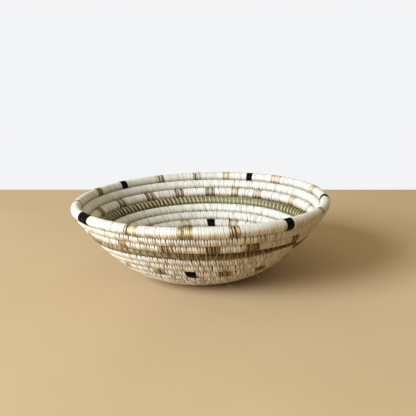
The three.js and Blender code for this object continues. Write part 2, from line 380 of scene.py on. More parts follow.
Finish = SisalFinish | GrassFinish
CREAM_SISAL = SisalFinish(
    "cream sisal", "cream_sisal", srgb(237, 237, 231), srgb(230, 214, 187), srgb(150, 130, 102)
)
TAN_SISAL = SisalFinish(
    "tan sisal", "tan_sisal", srgb(226, 211, 172), srgb(162, 128, 76), srgb(124, 98, 62),
    roughness=(0.36, 0.54), crease=srgb(142, 112, 66),
)
STITCH_SISAL = SisalFinish(
    "open stitch sisal", "tan_sisal", srgb(244, 238, 216), srgb(162, 122, 70), srgb(112, 90, 58),
    roughness=(0.34, 0.5), crease=srgb(170, 142, 88),
)
BLACK_SISAL = SisalFinish(
    "black sisal", "black_sisal", srgb(6, 6, 10), srgb(6, 6, 10), srgb(150, 150, 160),
    roughness=(0.4, 0.55), sheen=0.0, specular=0.07,
)
BARE_GRASS = GrassFinish("bare sweetgrass", srgb(170, 177, 147), srgb(106, 106, 56), srgb(166, 152, 104))
# The covered grass is darker and browner than the bare grass, so that the gaps between strands look dark:
# partly painted shade.
SHADED_COVERED_GRASS = GrassFinish("shaded covered sweetgrass", srgb(130, 94, 52), srgb(92, 62, 32), srgb(126, 92, 50))
BAND_FINISHES = {Sisal.CREAM: CREAM_SISAL, Sisal.TAN: TAN_SISAL, Sisal.BLACK: BLACK_SISAL}


# Meshes

def in_scene(name: str, data: bpy.types.ID) -> bpy.types.Object:
    """Makes an object of its data and puts it in the scene.

    Args:
        name: The object's name.
        data: Its mesh, lamp or camera.

    Returns:
        The object.
    """
    made = bpy.data.objects.new(name, data)
    bpy.context.scene.collection.objects.link(made)
    return made


def closed_mesh(made: bmesh.types.BMesh, name: str) -> Mesh:
    """Merges a shape's doubles, closes its ends and turns its faces outwards.

    Args:
        made: The shape, which is used up.
        name: The mesh's name.

    Returns:
        The mesh.
    """
    bmesh.ops.remove_doubles(made, verts=made.verts, dist=MERGE_DISTANCE)
    bmesh.ops.holes_fill(made, edges=[edge for edge in made.edges if edge.is_boundary])
    bmesh.ops.recalc_face_normals(made, faces=made.faces)
    mesh = bpy.data.meshes.new(name)
    made.to_mesh(mesh)
    made.free()
    return mesh


def rolled_tube(steps: int, sides: int) -> Mesh:
    """Rolls a grid into a closed tube along X, one unit long and one unit in radius.

    Args:
        steps: How many lengths it has.
        sides: How many sides it has.

    Returns:
        The tube's mesh.
    """
    made = bmesh.new()
    bmesh.ops.create_grid(made, x_segments=steps, y_segments=sides, size=0.5)
    for corner in made.verts:
        angle = TURN * (corner.co.y + 0.5)
        corner.co = Vector((corner.co.x + 0.5, math.sin(angle), math.cos(angle)))
    return closed_mesh(made, "tube")


@dataclass
class MeshRow:
    """Copies of one mesh in a row along X, as one mesh whose points are read block by block."""

    count: int
    span: float
    mesh: Mesh

    def __post_init__(self) -> None:
        """Lays the copies of the mesh, which is used up."""
        carrier = in_scene("row", self.mesh)
        row = carrier.modifiers.new("row", "ARRAY")
        row.count = self.count
        row.use_relative_offset = False
        row.use_constant_offset = True
        row.constant_offset_displace = (self.span, 0.0, 0.0)
        bpy.context.view_layer.update()
        seen = carrier.evaluated_get(bpy.context.evaluated_depsgraph_get())
        mesh = bpy.data.meshes.new_from_object(seen)
        bpy.data.objects.remove(carrier)
        bpy.data.meshes.remove(self.mesh)
        self.mesh = mesh

    def points(self) -> tuple[Array, Array, Array]:
        """Reads the points, copy by copy.

        Returns:
            Each point's X from the start of its own copy, its Y and its Z.
        """
        flat = np.zeros(len(self.mesh.vertices) * 3, np.float32)
        self.mesh.vertices.foreach_get("co", flat)
        x, y, z = np.moveaxis(flat.reshape(self.count, -1, 3).astype(float), -1, 0)
        return x - np.arange(self.count)[:, None] * self.span, y, z

    def move(self, points: Array) -> None:
        """Writes the points."""
        self.mesh.vertices.foreach_set("co", points.astype(np.float32).ravel())
        self.mesh.update()

    def mark(self, place: Sequence[Array | float], **marks: Array | float) -> None:
        """Stores what the finishes read at each point.

        Args:
            place: Where the point lies on its strand: across, along and the strand's own number.
            marks: Its tint, its share of outside colour, which also carries painted light and painted shade,
                and how much painted shade darkens it.
        """
        place = np.stack(np.broadcast_arrays(*place), axis=-1)
        made = self.mesh.attributes.new("strand_place", "FLOAT_VECTOR", "POINT")
        made.data.foreach_set("vector", place.astype(np.float32).ravel())
        for name, values in marks.items():
            values = np.broadcast_to(values, place.shape[:-1])
            made = self.mesh.attributes.new(name, "FLOAT", "POINT")
            made.data.foreach_set("value", values.astype(np.float32).ravel())


class Workbench:
    """The built materials, and the call that turns a mesh into a finished piece of the basket."""

    def __init__(self) -> None:
        """Builds every material once."""
        finishes = (CREAM_SISAL, TAN_SISAL, BLACK_SISAL, STITCH_SISAL, BARE_GRASS, SHADED_COVERED_GRASS)
        self.materials = {finish.name: finish.build() for finish in finishes}

    def piece(self, name: str, mesh: Mesh, nodes: Sequence[str], *finishes: Finish) -> None:
        """Hangs a finished mesh on the basket.

        Args:
            name: The piece's name.
            mesh: Its mesh, in metres, in place.
            nodes: The CAD nodes that it stands for.
            finishes: Its finishes, in the order of the faces' numbers.
        """
        mesh.name = name
        for finish in finishes:
            mesh.materials.append(self.materials[finish.name])
        mesh.polygons.foreach_set("use_smooth", np.ones(len(mesh.polygons), bool))
        mesh.update()
        made = in_scene(name, mesh)
        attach(made, "root")
        if nodes:
            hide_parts(*nodes)
        LOG.info("%s: %d faces", name, len(mesh.polygons))


# The bowl and its coil

@dataclass(frozen=True)
class BowlShape:
    """The middle line of the bowl's wall: a flat base, the belly's arc and the wall's arc."""

    base_flat_radius: float = 24.0
    belly_arc_radius: float = 60.0
    wall_arc_radius: float = 170.0
    belly_slope: float = math.radians(40.0)
    rim_slope: float = math.radians(58.0)
    seat_height: float = 3.995
    rest_give: float = 0.7

    @property
    def belly_length(self) -> float:
        """The length of the belly's arc."""
        return self.belly_arc_radius * self.belly_slope

    @property
    def rim_distance(self) -> float:
        """The length of the middle line from the centre to the rim's coil."""
        wall = self.wall_arc_radius * (self.rim_slope - self.belly_slope)
        return self.base_flat_radius + self.belly_length + wall

    def profile(self, distance: Array) -> tuple[Array, Array, Array]:
        """Follows the middle line.

        Args:
            distance: Lengths along it from the centre.

        Returns:
            The radius, the height and the slope there.
        """
        past = np.maximum(distance - self.base_flat_radius, 0.0)
        belly = np.minimum(past / self.belly_arc_radius, self.belly_slope)
        slope = belly + np.maximum(past - self.belly_length, 0.0) / self.wall_arc_radius
        radius = np.minimum(distance, self.base_flat_radius) + self.belly_arc_radius * np.sin(belly)
        radius = radius + self.wall_arc_radius * (np.sin(slope) - np.sin(belly))
        height = self.seat_height + self.belly_arc_radius * (1.0 - np.cos(belly))
        height = height + self.wall_arc_radius * (np.cos(belly) - np.cos(slope))
        return radius, height, slope

    def place(self, azimuth: Array, distance: Array, along: Array, out: Array) -> Array:
        """Places points that are given beside the middle line.

        Args:
            azimuth: Angles round the bowl, in radians.
            distance: Lengths along the middle line.
            along: How far each point lies beyond it, up the wall.
            out: How far it lies outside the middle line.

        Returns:
            The points in metres. What would lie under the table is pressed flat on it.
        """
        radius, height, slope = self.profile(distance)
        plan = radius + along * np.cos(slope) + out * np.sin(slope)
        z = height + along * np.sin(slope) - out * np.cos(slope)
        pressed = self.rest_give * np.exp(np.minimum(z / self.rest_give - 1.0, 0.0))
        z = np.where(z < self.rest_give, pressed, z)
        return np.stack([plan * np.cos(azimuth), plan * np.sin(azimuth), z], axis=-1) * MM


@dataclass(frozen=True)
class Unevenness:
    """How the hand-sewn rounds stray from even ones, in hundredths of a round up the wall.

    Each line holds an angle round the bowl, then how far the creases under rounds 6 to 14 and the
    rim's top stray there.
    """

    first_crease: float = 5.5
    even_level: float = 1.5
    lines: tuple[tuple[int, ...], ...] = (
        (0, 0, 0, 0, 0, 0, 0, 0, 0, 0, 0),
        (25, 0, 0, -4, -5, -5, -6, -6, -5, -3, 0),
        (130, 0, 0, -4, -5, -6, -6, -7, -5, -2, 0),
        (152, 0, -4, -8, -9, -9, -8, -7, -5, -2, 0),
        (172, 0, -8, -14, -19, -19, -14, -8, -3, 0, 0),
        (192, 0, -4, -6, -8, -8, -2, 4, 6, 6, 4),
        (215, 6, 12, 20, 28, 33, 35, 35, 33, 28, 18),
        (228, 12, 26, 38, 48, 50, 46, 43, 40, 31, 14),
        (237, 14, 30, 42, 52, 55, 50, 45, 40, 30, 10),
        (246, 14, 28, 38, 48, 52, 49, 42, 32, 22, 8),
        (255, 10, 22, 30, 40, 42, 41, 36, 27, 20, 10),
        (265, 2, 2, -8, 22, 23, 26, 25, 23, 17, 12),
        (273, 0, 0, -6, 10, 20, 21, 18, 14, 12, 8),
        (281, -4, -14, -18, -6, 4, 7, 8, 10, 10, 5),
        (291, -6, -18, -26, -20, -8, 2, 2, 3, 3, 0),
        (302, -8, -24, -46, -32, -10, 14, -14, -10, -6, 0),
        (312, -6, -18, -34, -30, 0, 30, -22, -10, -8, 0),
        (328, -2, -10, -20, -18, 0, 26, -18, -6, -5, 0),
        (345, 0, -2, -5, -5, 0, 8, -5, -2, 0, 0),
    )

    def stray(self, azimuth: Array, level: Array) -> Array:
        """How far the wall's rounds are shifted at a place.

        Args:
            azimuth: Angles round the bowl, in radians.
            level: How high each place lies, counted in rounds.

        Returns:
            The shift up the wall, counted in rounds.
        """
        table = np.array(self.lines, float)
        knots, shifts = table[:, 0], table[:, 1:] / 100.0
        place = np.degrees(azimuth) % 360.0
        near = np.searchsorted(knots, place, side="right") - 1
        far = (near + 1) % len(knots)
        share = smooth((place - knots[near]) / ((knots[far] - knots[near]) % 360.0))
        column = np.clip(level - self.first_crease, 0.0, shifts.shape[1] - 1.0)
        under = np.minimum(column.astype(int), shifts.shape[1] - 2)
        part = column - under
        first, last = (shifts[i, under] * (1.0 - part) + shifts[i, under + 1] * part for i in (near, far))
        fade = np.clip((level - self.even_level) / (self.first_crease - self.even_level), 0.0, 1.0)
        return fade * (first * (1.0 - share) + last * share)


@dataclass(frozen=True)
class Coil:
    """The winding of the grass coil, by turns: its rounds lie level, and climb near its seam."""

    bowl: BowlShape = BowlShape()
    uneven: Unevenness = Unevenness()
    pitch: float = 7.9
    half_depth: float = 4.25
    wall_depth: float = 0.87
    wall_fade: float = 30.0
    roundness: float = 2.15
    inside_flatness: float = 0.25
    eye_radius: float = 7.1
    rim_level: int = 14
    level_rounds: int = 3
    seam_degrees: float = 313.0
    climb_arc: float = 44.0 / 360.0
    tip_turn: float = 14.108
    tip_overlap: float = 0.065
    thinnest: float = 0.02
    rim_height: float = 0.9
    rim_depth: float = 0.98
    rim_fade: float = 0.08
    sag_share: float = 0.26
    sag_zone: Zone = Zone(345.0, 21.0)
    sag_rounds: float = 2.5
    sag_fade: float = 1.5
    mark_width: float = 8.0
    samples_per_turn: int = 400

    @property
    def first_turn(self) -> float:
        """The turn at which the coil has its full thickness."""
        return self.rim_level - (self.bowl.rim_distance - self.eye_radius) / self.pitch

    def azimuth(self, turn: Array) -> Array:
        """The angle round the bowl at a turn, in radians."""
        return math.radians(self.seam_degrees) + TURN * turn

    def climb(self, turn: Array) -> Array:
        """How far a turn has climbed to the next level.

        Args:
            turn: Turns from the start.

        Returns:
            The share of the climb, from 0 to 1.
        """
        part = turn - np.floor(turn)
        level = np.clip(turn / (self.rim_level - self.level_rounds), 0.0, 1.0)
        quick = smooth(np.clip(part / self.climb_arc, 0.0, 1.0))
        return part + (quick - part) * level

    def sag(self, turn: Array) -> Array:
        """How far the top rounds sag beside the seam, as a share of the pitch."""
        weight = np.clip((turn - self.rim_level + self.sag_rounds) / self.sag_fade, 0.0, 1.0)
        return self.sag_share * weight * self.sag_zone.at(np.degrees(self.azimuth(turn)))

    def level(self, turn: Array) -> Array:
        """The level of the round at a turn, counted in rounds."""
        return np.floor(turn) + self.climb(turn) - self.sag(turn)

    def station(self, turn: Array) -> tuple[Array, Array, Array, Array]:
        """The coil's place and thickness at a turn.

        Args:
            turn: Turns from the start.

        Returns:
            The length along the middle line, and the shares of the coil's size up the wall, down the
            wall and across it.
        """
        level, azimuth = self.level(turn), self.azimuth(turn)
        stray = self.uneven.stray(azimuth, level)
        distance = self.bowl.rim_distance - self.pitch * (self.rim_level - level - stray)
        above = np.where(turn + 1.0 < self.rim_level, self.level(turn + 1.0) - level, 1.0)
        above = above + 2.0 * (self.uneven.stray(azimuth, level + 0.5) - stray)
        below = np.where(turn - 1.0 > self.first_turn, level - self.level(turn - 1.0), 1.0)
        below = below + 2.0 * (stray - self.uneven.stray(azimuth, level - 0.5))
        slim = np.clip((turn - self.rim_level + 1.0) / self.rim_fade, 0.0, 1.0)
        rim_height = 1.0 + (self.rim_height - 1.0) * slim
        up_wall = np.clip((distance - self.bowl.base_flat_radius) / self.wall_fade, 0.0, 1.0)
        across = (1.0 + (self.rim_depth - 1.0) * slim) * (1.0 + (self.wall_depth - 1.0) * up_wall)
        start = np.clip(turn - self.first_turn + 1.0, self.thinnest, 1.0)
        starting = turn < self.first_turn
        eye = self.eye_radius - self.pitch / 2.0
        distance = np.where(starting, eye + self.pitch / 2.0 * start, distance)
        tip = np.clip(1.0 - self.climb(turn), self.thinnest, 1.0)
        ending = turn >= self.rim_level
        rim = self.bowl.rim_distance + self.pitch * ((1.0 - tip) / 2.0 - self.sag(turn))
        distance = np.where(ending, rim, distance)
        share = np.where(starting, start, np.where(ending, tip, 1.0))
        whole = ~(starting | ending)
        above = np.where(whole, above, share) * rim_height
        return distance, above, np.where(whole, below, share), across * np.sqrt(share)

    def section(self, degrees: Array, half_along: Array, half_out: Array) -> tuple[Array, Array]:
        """Points of the coil's slightly squared oval section, which is flatter inside the bowl.

        Args:
            degrees: Angles round it: 0 is outside the bowl, 90 up the wall.
            half_along: Its half size up the wall.
            half_out: Its half size across the wall.

        Returns:
            How far up the wall and how far out each point lies.
        """
        sine, cosine = np.sin(np.radians(degrees)), np.cos(np.radians(degrees))
        power = 2.0 / (self.roundness + self.inside_flatness * (cosine < 0.0))
        along = half_along * np.sign(sine) * np.abs(sine) ** power
        return along, half_out * np.sign(cosine) * np.abs(cosine) ** power

    def wind(self, turn: Array, along: Array, out: Array) -> Array:
        """Winds points that are given in a straight coil's section into the bowl.

        Args:
            turn: Where along the coil each point lies.
            along: How far it lies up the wall from the coil's middle.
            out: How far it lies outside the coil's middle.

        Returns:
            The points in metres.
        """
        distance, above, below, across = self.station(turn)
        along = along * np.where(along > 0.0, above, below)
        return self.bowl.place(self.azimuth(turn), distance, along, out * across)

    def radius(self, turn: Array) -> Array:
        """The radius of the coil's middle at a turn."""
        return self.bowl.profile(self.station(turn)[0])[0]

    def turns_between(self, start: float, end: float, spacing: float) -> Array:
        """Spreads places evenly along a stretch of coil.

        Args:
            start: The turn where the stretch starts.
            end: The turn where it ends.
            spacing: The length between two places.

        Returns:
            The turn of each place.
        """
        fine = np.linspace(start, end, 2 + int(self.samples_per_turn * (end - start)))
        radius = self.radius(fine)
        steps = TURN * (radius[1:] + radius[:-1]) / 2.0 * np.diff(fine)
        length = np.concatenate([[0.0], np.cumsum(steps)])
        count = max(1, round(length[-1] / spacing))
        return np.interp((np.arange(count) + 0.5) * length[-1] / count, length, fine)

    def band_turns(self, level: int, degrees: float, width: float) -> Range:
        """Where a coloured band lies on the coil.

        Args:
            level: The round's level.
            degrees: The band's middle, in degrees round the bowl.
            width: Its width as a share of the usual one.

        Returns:
            The turns where it starts and ends.
        """
        part = ((degrees - self.seam_degrees) / 360.0) % 1.0
        turns = [t for t in (level - 1 + part, level + part) if t < self.rim_level + self.tip_overlap]
        middle = min(turns, key=lambda t: abs(float(self.level(np.array(t))) - level))
        half = self.mark_width * width / 2.0 / (TURN * float(self.radius(np.array(middle))))
        return middle - half, middle + half


@dataclass(frozen=True)
class EyeRing(Coil):
    """The first tight loop at the centre, inside the start of the coil: a ring with a closed eye."""

    ring_radius: float = 1.62
    ring_height: float = 0.97
    ring_depth: float = 0.84

    def station(self, turn: Array) -> tuple[Array, Array, Array, Array]:
        """The ring's place and thickness, the same all round.

        Args:
            turn: Shares of its one round.

        Returns:
            The length along the middle line and the shares of the coil's size.
        """
        same = np.ones_like(turn)
        share = same * self.ring_radius / (self.pitch / 2.0) * self.ring_height
        return same * self.ring_radius, share, share, same * self.ring_depth


# Strands

@dataclass(frozen=True)
class Strand:
    """One loop of sisal round the coil: its cross-section, how its shape changes on the way, and how much
    painted light and painted shade its colour carries.
    """

    loop_steps: int = 22
    crest_share: float = 0.36
    height: float = 0.46
    inside_height: float = 0.22
    rise: float = 0.1
    lean: float = 2.4
    lean_play: float = 0.2
    twist: float = 0.0
    inside_share: float = 1.05
    outside_share: float = 1.04
    foot_share: float = 0.12
    thinnest_share: float = 0.12
    reach: float = 0.25
    reach_play: float = 0.25
    reach_lift: float = 0.1
    shortest_reach: float = 0.2
    notch_share: float = 0.34
    notch_play: float = 0.8
    side_notches: float = 0.35
    gather: float = 0.2
    group_sizes: tuple[int, ...] = (1, 2, 2, 2, 3)
    group_span: float = 1.7
    # Painted shade in the creases and on the lower inside halves: how wide and how strong.
    crease_spread: float = 18.0
    inner_crease: float = 0.62
    inside_press: float = 0.2
    top_crease: float = 0.7
    # Beads: the strands narrow at the back, with painted shade round their pale middles.
    bead: float = 0.0
    bead_share: float = 0.4
    # Painted shade: browner sisal on the shaded left, and a tan top and bottom round a pale middle on the
    # inner face, a painted highlight.
    left_painted_brown: float = 0.0
    inner_painted_highlight: float = 0.0
    tint: float = 0.52
    tint_play: float = 0.34
    right_evenness: float = 0.85
    # Share of outside colour, tilted so that lit tops stay pale: the outside face's own colour with painted
    # light and painted shade; then painted shade on the right and front right, and painted light on the
    # front left.
    outer_tilt: float = 34.0
    outer_share: float = -0.15
    outer_gain: float = 1.2
    right_painted_brown: float = 0.45
    front_left_painted_light: float = 0.25
    right_crease: float = 0.3
    tick_share: float = 0.5
    tick_chance: float = 0.3
    tick_waves: Triple = (0.7, 0.6, 41.0)
    height_play: float = 0.1
    width_play: float = 0.05
    depth_play: float = 0.04
    slide_play: float = 0.05
    play_limit: float = 2.5
    clearance: float = 0.02
    upright: float = 85.0
    covered: bool = True
    core_radius: float = 10.0
    row_span: float = 4.0
    section_seam: float = -95.0
    inner_gain: float = 2.0
    inner_base: float = 0.6
    inner_spread: float = 1.6
    top_spread: float = 0.8
    foot_bead: float = 0.5
    unrolled_radius: float = 4.0

    def loop(self) -> Mesh:
        """Spins one straight loop of strand on a round core.

        Returns:
            The loop's mesh, one unit wide and one unit high.
        """
        made = bmesh.new()
        section = [(-0.5, 0.0), (-self.crest_share, 1.0), (self.crest_share, 1.0), (0.5, 0.0)]
        corners = [made.verts.new((across, 0.0, self.core_radius + high)) for across, high in section]
        for here, there in zip(corners, corners[1:] + corners[:1]):
            made.edges.new((here, there))
        turned, steps = made.verts[:] + made.edges[:], self.loop_steps
        centre, axis = (0.0, 0.0, 0.0), (1.0, 0.0, 0.0)
        bmesh.ops.spin(made, geom=turned, cent=centre, axis=axis, angle=TURN, steps=steps, use_merge=True)
        return closed_mesh(made, "loop")


@dataclass
class StrandRow:
    """A row of sewn loops along a stretch of coil."""

    coil: Coil
    strand: Strand
    turns: Array
    spacing: float
    seed: int
    kinds: Array = field(default_factory=lambda: np.zeros(0, int))

    def __post_init__(self) -> None:
        """Lays the straight loops in a row, and reads where their points lie."""
        shape = self.strand
        self.chance = np.random.default_rng(self.seed)
        self.count = len(self.turns)
        self.row = MeshRow(self.count, shape.row_span, shape.loop())
        self.across, y, z = self.row.points()
        seam = shape.section_seam
        self.degrees = (np.degrees(np.arctan2(y, z)) - seam) % 360.0 + seam
        self.high = np.hypot(y, z) - shape.core_radius
        inward = -np.cos(np.radians(self.degrees)) * shape.inner_gain
        self.inner = np.clip(inward + shape.inner_base, 0.0, 1.0)
        self.azimuth = np.degrees(self.coil.azimuth(self.turns))[:, None]

    def play(self, amount: float) -> Array:
        """A small chance amount for each loop."""
        limit = self.strand.play_limit * amount
        return self.chance.normal(0.0, amount, self.count).clip(-limit, limit)[:, None]

    def gathering(self) -> Array:
        """How far each loop lies from the middle of the small group that it is sewn in.

        Returns:
            The length from each loop to its group's middle, in millimetres.
        """
        length = self.turns * TURN * self.coil.radius(self.turns)
        starts = np.zeros(self.count, bool)
        place = 0
        while place < self.count:
            starts[place] = True
            place += int(self.chance.choice(self.strand.group_sizes))
        starts[1:] |= np.abs(np.diff(length)) > self.strand.group_span * self.spacing
        group = np.cumsum(starts) - 1
        middle = np.bincount(group, length) / np.bincount(group)
        return middle[group] - length

    def widths(self) -> Array:
        """How wide each loop is on its way round the coil, with the notches and ticks between loops.

        Returns:
            The width as a share of the room that a loop has.
        """
        shape, degrees, azimuth = self.strand, self.degrees, self.azimuth
        outer = np.clip(np.cos(np.radians(degrees)), 0.0, 1.0)
        share = shape.inside_share + (shape.outside_share - shape.inside_share) * outer
        share = share - shape.foot_share * OUTER_FOOT.at(degrees)
        if shape.covered:
            deep = self.chance.uniform(1.0 - shape.notch_play, 1.0 + shape.notch_play, self.count)[:, None]
            facing = shape.side_notches + (1.0 - shape.side_notches) * FRONT.at(azimuth)
            share = share - shape.notch_share * facing * deep * NOTCHES.at(degrees)
        mean, swing, rate = shape.tick_waves
        chances = shape.tick_chance * (mean + swing * np.sin(self.turns * rate))
        ticked = self.chance.uniform(0.0, 1.0, self.count) < chances
        share = share - shape.tick_share * ticked[:, None] * TICKS.at(degrees)
        beads = SHOULDER.at(degrees) + shape.foot_bead * INNER_FOOT.at(degrees)
        share = share - shape.bead_share * shape.bead * BACK.at(azimuth) * beads
        return np.maximum(share, shape.thinnest_share)

    def marks(self) -> dict[str, Array]:
        """How much of its outside colour a strand shows, with painted light and painted shade mixed in, and
        how much painted shade darkens it.

        Returns:
            Both shares, 0 to 1, by the names that the finishes read.
        """
        shape, degrees, azimuth, inner = self.strand, self.degrees, self.azimuth, self.inner
        # Painted shade makes the sisal browner on the shaded right; painted light makes it paler on the lit
        # front left.
        browner = shape.outer_share + shape.right_painted_brown * RIGHT_SHADED_SISAL.at(azimuth)
        browner = browner - shape.front_left_painted_light * FRONT_LEFT_LIT.at(azimuth)
        # Tilted so that lit tops stay pale and lower halves take the outside colour: painted light and
        # painted shade on top of the outside face's own colour.
        outer = shape.outer_gain * np.cos(np.radians(degrees + shape.outer_tilt)) + browner
        # Painted shade: browner on the shaded left.
        outer = np.maximum(outer, shape.left_painted_brown * LEFT_SHADED_SISAL.at(azimuth))
        # Tan at the top and bottom of the inner face, pale in its middle: painted shade and a painted
        # highlight.
        outer = np.maximum(outer, shape.inner_painted_highlight * inner * (1.0 - INNER_FACE.at(degrees)))
        # Painted shade in the creases, darker towards the bottom of the inner face, and round the beads'
        # pale middles.
        spread = shape.crease_spread
        inside = shape.inner_crease * Zone(INNER_CREASE, shape.inner_spread * spread).at(degrees)
        crease = np.where(degrees < OUTER_CREASE, inside, Zone(OUTER_CREASE, spread).at(degrees))
        crease = crease + shape.top_crease * Zone(TOP_CREASE, shape.top_spread * spread).at(degrees)
        crease = crease + shape.bead * BACK_BEAD_SHADE.at(azimuth) * inner * (1.0 - INNER_BEAD.at(degrees))
        # Painted shade on the shaded front right, stronger on beads.
        right = shape.right_crease + shape.right_crease * shape.bead
        crease = crease + right * FRONT_RIGHT_SHADED.at(azimuth) * (1.0 - inner)
        return {"outer": np.clip(outer, 0.0, 1.0), "crease": np.clip(crease, 0.0, 1.0)}

    def build(self) -> Mesh:
        """Winds the loops round the bowl.

        Returns:
            The row's mesh, with the faces of each loop numbered by its kind.
        """
        shape, coil, degrees, play = self.strand, self.coil, self.degrees, self.play
        gathered = self.gathering()[:, None]
        height = shape.height + (shape.inside_height - shape.height) * self.inner
        height = height * (1.0 + play(shape.height_play))
        high = shape.rise + (self.high - 1.0) * height
        width = self.spacing * self.widths() * (1.0 + play(shape.width_play))
        half_along = coil.pitch / 2.0 + shape.clearance + shape.inside_press * self.inner + high
        half_out = coil.half_depth + play(shape.depth_play) + high
        along, out = coil.section(degrees, half_along, half_out)
        tuck = TUCK.at(degrees)
        along = along - np.maximum(shape.reach + play(shape.reach_play), shape.shortest_reach) * tuck
        sine = np.sin(np.radians(degrees))
        slide = -shape.lean * (degrees - shape.upright) / 360.0 + play(shape.lean_play) * sine
        slide = slide + play(shape.slide_play * self.spacing) - shape.twist * sine
        slide = slide + shape.gather * gathered * GATHERING.at(degrees)
        room = TURN * coil.radius(self.turns)[:, None]
        turn = self.turns[:, None] + (self.across * width + slide) / room
        self.row.move(coil.wind(turn, along, out + shape.reach_lift * tuck))
        tint_play = 1.0 - shape.right_evenness * RIGHT_TINTS.at(self.azimuth)
        tint = np.clip(shape.tint + play(shape.tint_play) * tint_play, 0.0, 1.0)
        number = self.chance.uniform(0.0, NUMBER_RANGE, self.count)[:, None]
        place = (self.across * width, degrees / 360.0 * TURN * shape.unrolled_radius, number)
        self.row.mark(place, tint=tint, **self.marks())
        if len(self.kinds):
            faces = len(self.row.mesh.polygons) // self.count
            self.row.mesh.polygons.foreach_set("material_index", np.repeat(self.kinds, faces))
        return self.row.mesh


# The strand kinds below also set how much painted light and painted shade their colour carries.
TOP_STRAND = Strand(covered=False, gather=0.0, top_crease=0.0)
LOW_STRAND = Strand(lean=4.6, tint_play=0.46)
RIM_STRAND = replace(
    TOP_STRAND, height=0.18, inside_height=0.18, inside_share=1.09, outside_share=1.1, lean=1.2,
    lean_play=0.08, crest_share=0.38, tick_chance=0.1, tint_play=0.46, outer_share=-0.25, inside_press=0.0,
)
RIM_BAND_STRAND = replace(
    TOP_STRAND, height=0.28, inside_height=0.24, inside_share=1.06, outside_share=1.03, lean=1.6, rise=0.14,
    reach=0.5, crest_share=0.4, outer_tilt=46.0, outer_share=0.12, crease_spread=20.0, inner_crease=0.8,
    left_painted_brown=0.95, inner_painted_highlight=0.9,
)
BAND_STRAND = Strand(
    rise=0.16, reach=0.5, outer_tilt=14.0, outer_share=0.0, crease_spread=21.0, inner_crease=0.9,
    top_crease=0.9, left_painted_brown=0.7, inner_painted_highlight=1.0,
)
LOW_BAND_STRAND = replace(BAND_STRAND, lean=5.4, reach=1.2, notch_share=0.2, left_painted_brown=0.0, inner_painted_highlight=1.5)
EYE_STRAND = replace(TOP_STRAND, reach=0.0, reach_play=0.0, lean=0.2, lean_play=0.05)
OPEN_STRAND = Strand(
    height=0.5, inside_height=0.42, rise=0.18, twist=0.2, outside_share=0.9, reach=0.3, reach_play=0.45,
    crease_spread=24.0, tick_share=0.45, tick_chance=1.0, inner_crease=1.0, top_crease=0.6, bead=1.2,
    group_span=3.0, covered=False, outer_tilt=8.0, outer_share=0.25, left_painted_brown=0.3,
)


# The basket's parts

@dataclass(frozen=True)
class Part:
    """A part of the basket: it is made round the coil and finished at the workbench."""

    coil: Coil
    bench: Workbench


@dataclass(frozen=True)
class GrassCore(Part):
    """The grass bundle inside the wrap, which shows dark between the strands."""

    sides: int = 12
    steps_per_turn: int = 90
    fewest_steps: int = 6
    inset: float = 0.62
    finish: GrassFinish = SHADED_COVERED_GRASS
    tint: float = 0.3
    outer: float = 0.45

    def build(self, name: str, start: float, end: float, node: str) -> None:
        """Makes one stretch of it.

        Args:
            name: The piece's name.
            start: The turn where it starts.
            end: The turn where it ends.
            node: The CAD node that it stands for.
        """
        coil = self.coil
        steps = max(self.fewest_steps, round((end - start) * self.steps_per_turn))
        tube = MeshRow(1, 0.0, rolled_tube(steps, self.sides))
        share, y, z = tube.points()
        turn = start + share * (end - start)
        degrees = np.degrees(np.arctan2(y, z))
        half_out = coil.half_depth - self.inset
        tube.move(coil.wind(turn, *coil.section(degrees, coil.pitch / 2.0 - self.inset, half_out)))
        place = (degrees / 360.0 * TURN * half_out, turn * TURN * coil.radius(turn), 0.0)
        tube.mark(place, tint=self.tint, outer=self.outer)
        self.bench.piece(name, tube.mesh, [node], self.finish)


@dataclass(frozen=True)
class Band:
    """A coloured band: its place in degrees, its share of the usual width, its strands and their lean."""

    degrees: float
    width: float
    pattern: str
    lean: float = 0.0


@dataclass(frozen=True)
class BandRow:
    """The bands of one colour on one round, counted in the direction of the winding."""

    name: str
    level: int
    sisal: Sisal
    strand: Strand
    bands: tuple[Band, ...]


RIM_BLACK = BandRow("rim_black_band", 14, Sisal.BLACK, RIM_BAND_STRAND, (
    Band(62.7, 0.72, "bbbbb"),
    Band(137.0, 0.76, "bbbbbb", 1.0),
    Band(214.0, 1.76, "bbbbbbbbbbbb", 7.0),
    Band(306.3, 0.82, "bbbbbb", 1.0),
    Band(356.6, 0.7, "bbbbb"),
))
RIM_TAN = BandRow("rim_tan_band", 14, Sisal.TAN, RIM_BAND_STRAND, (
    Band(14.6, 1.0, "ttttct"),
    Band(46.0, 1.42, "ttctcttctt"),
    Band(76.5, 0.82, "ttctt"),
    Band(93.0, 0.78, "tctgt"),
    Band(114.2, 1.0, "tgtcgtct"),
    Band(156.2, 0.8, "ttgttt"),
    Band(183.3, 0.42, "tt"),
    Band(242.6, 1.15, "tgtctcttt"),
    Band(263.9, 1.15, "ttggtttt"),
    Band(282.5, 0.8, "tgtgtt"),
    Band(331.2, 0.6, "tgtt"),
))
